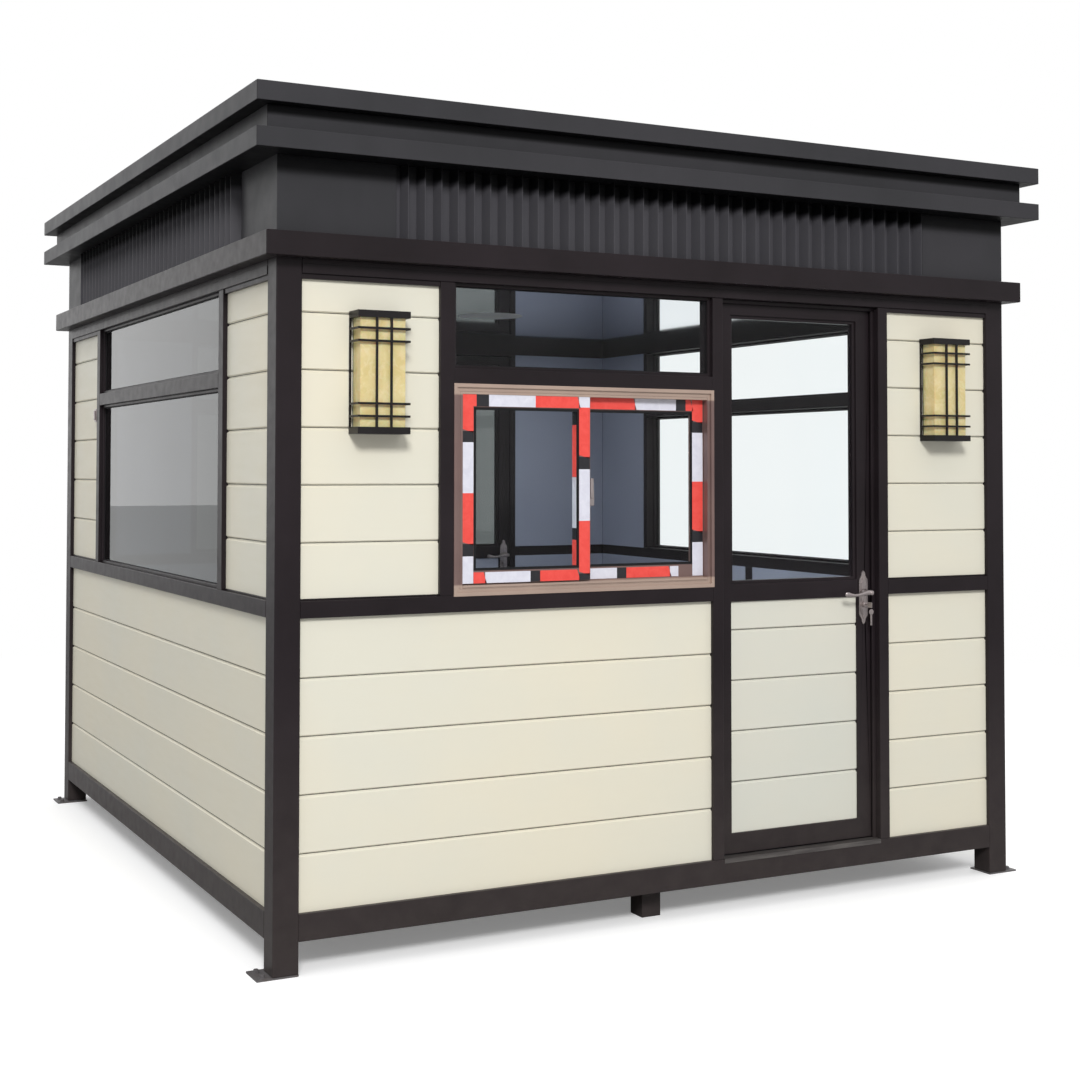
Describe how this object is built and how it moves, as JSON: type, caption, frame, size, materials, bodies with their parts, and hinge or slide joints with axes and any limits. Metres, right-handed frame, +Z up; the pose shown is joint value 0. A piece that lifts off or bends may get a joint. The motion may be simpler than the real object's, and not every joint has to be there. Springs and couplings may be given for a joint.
{
  "type": "security guard booth",
  "caption": "Square guard booth: dark steel frame on short legs, cream boarded walls, glazing all round, two doors, sliding service window, fluted frieze and stepped flat roof.",
  "frame": {"origin": "centre of the plan, on the ground under the foot plates", "axes": "+X to the right seen from the front, -Y the front with the service window, +Z up"},
  "size_m": [3.2, 3.2, 2.747],
  "materials": {
    "frame_paint": "semi-gloss dark brown",
    "roof_sheet": "satin charcoal",
    "cream_boards": "satin cream, grooved boards",
    "clear_glass": "clear",
    "window_aluminium": "champagne, with protective tape on the sashes",
    "floor_board": "plain grey-brown floor board",
    "ceiling_sheet": "satin white",
    "steel_plate": "mill finish",
    "lamp_metal": "satin black-brown",
    "lamp_shade": "translucent amber and cream",
    "ceiling_light": "opal",
    "handle_nickel": "satin nickel"
  },
  "bodies": {
    "booth": {"corner_posts": "frame_paint", "foot_plates": "steel_plate", "mid_legs": "frame_paint", "floor_joist": "frame_paint", "base_beams": "frame_paint", "floor_deck": "floor_board", "top_beams": "frame_paint", "sill_rails": "frame_paint", "window_mullions": "frame_paint", "transom_rails": "frame_paint", "door_posts": "frame_paint", "wall_studs": "frame_paint", "front_wall": "cream_boards", "back_wall": "cream_boards", "left_wall": "cream_boards", "right_wall": "cream_boards", "front_transom_glass": "clear_glass", "back_window_glass": "clear_glass", "left_window_glass": "clear_glass", "right_window_glass": "clear_glass", "service_window_frame": "window_aluminium", "window_sash_left": "window_aluminium", "window_sash_right": "window_aluminium", "sash_panes": "clear_glass", "front_door_lining": "frame_paint", "back_door_lining": "frame_paint", "front_hinge_pins": "frame_paint", "back_hinge_pins": "frame_paint", "ledge": "frame_paint", "frieze_piers": "roof_sheet", "fluted_frieze": "roof_sheet", "lower_cornice": "roof_sheet", "cornice_neck": "roof_sheet", "top_cornice": "roof_sheet", "roof_deck": "roof_sheet", "ceiling_panel": "ceiling_sheet", "ceiling_lamp": "ceiling_light", "lamp_cages": "lamp_metal", "lamp_diffusers": "lamp_shade"},
    "front_door": {"front_door_leaf": "frame_paint", "front_door_glass": "clear_glass", "front_door_boards": "cream_boards", "front_handle_plates": "handle_nickel", "front_hinge_knuckles": "frame_paint"},
    "back_door": {"back_door_leaf": "frame_paint", "back_door_glass": "clear_glass", "back_door_boards": "cream_boards", "back_handle_plates": "handle_nickel", "back_hinge_knuckles": "frame_paint"},
    "front_lever": {"front_levers": "handle_nickel"},
    "back_lever": {"back_levers": "handle_nickel"}
  },
  "joints": [
    {"name": "front_door_hinge", "type": "hinge", "parent": "booth", "child": "front_door", "pos_m": [0.1815, -1.4075, 1.1], "axis": [0, 0, 1], "range_deg": [0, 90]},
    {"name": "back_door_hinge", "type": "hinge", "parent": "booth", "child": "back_door", "pos_m": [0.1465, 1.4075, 1.1], "axis": [0, 0, -1], "range_deg": [0, 90]},
    {"name": "front_lever_turn", "type": "hinge", "parent": "front_door", "child": "front_lever", "pos_m": [0.831, -1.4375, 1.108], "axis": [0, -1, 0], "range_deg": [0, 40], "stiffness_Nm_per_rad": 1.5, "springref_deg": -22.92},
    {"name": "back_lever_turn", "type": "hinge", "parent": "back_door", "child": "back_lever", "pos_m": [0.796, 1.4375, 1.108], "axis": [0, -1, 0], "range_deg": [0, 40], "stiffness_Nm_per_rad": 1.5, "springref_deg": -22.92}
  ]
}
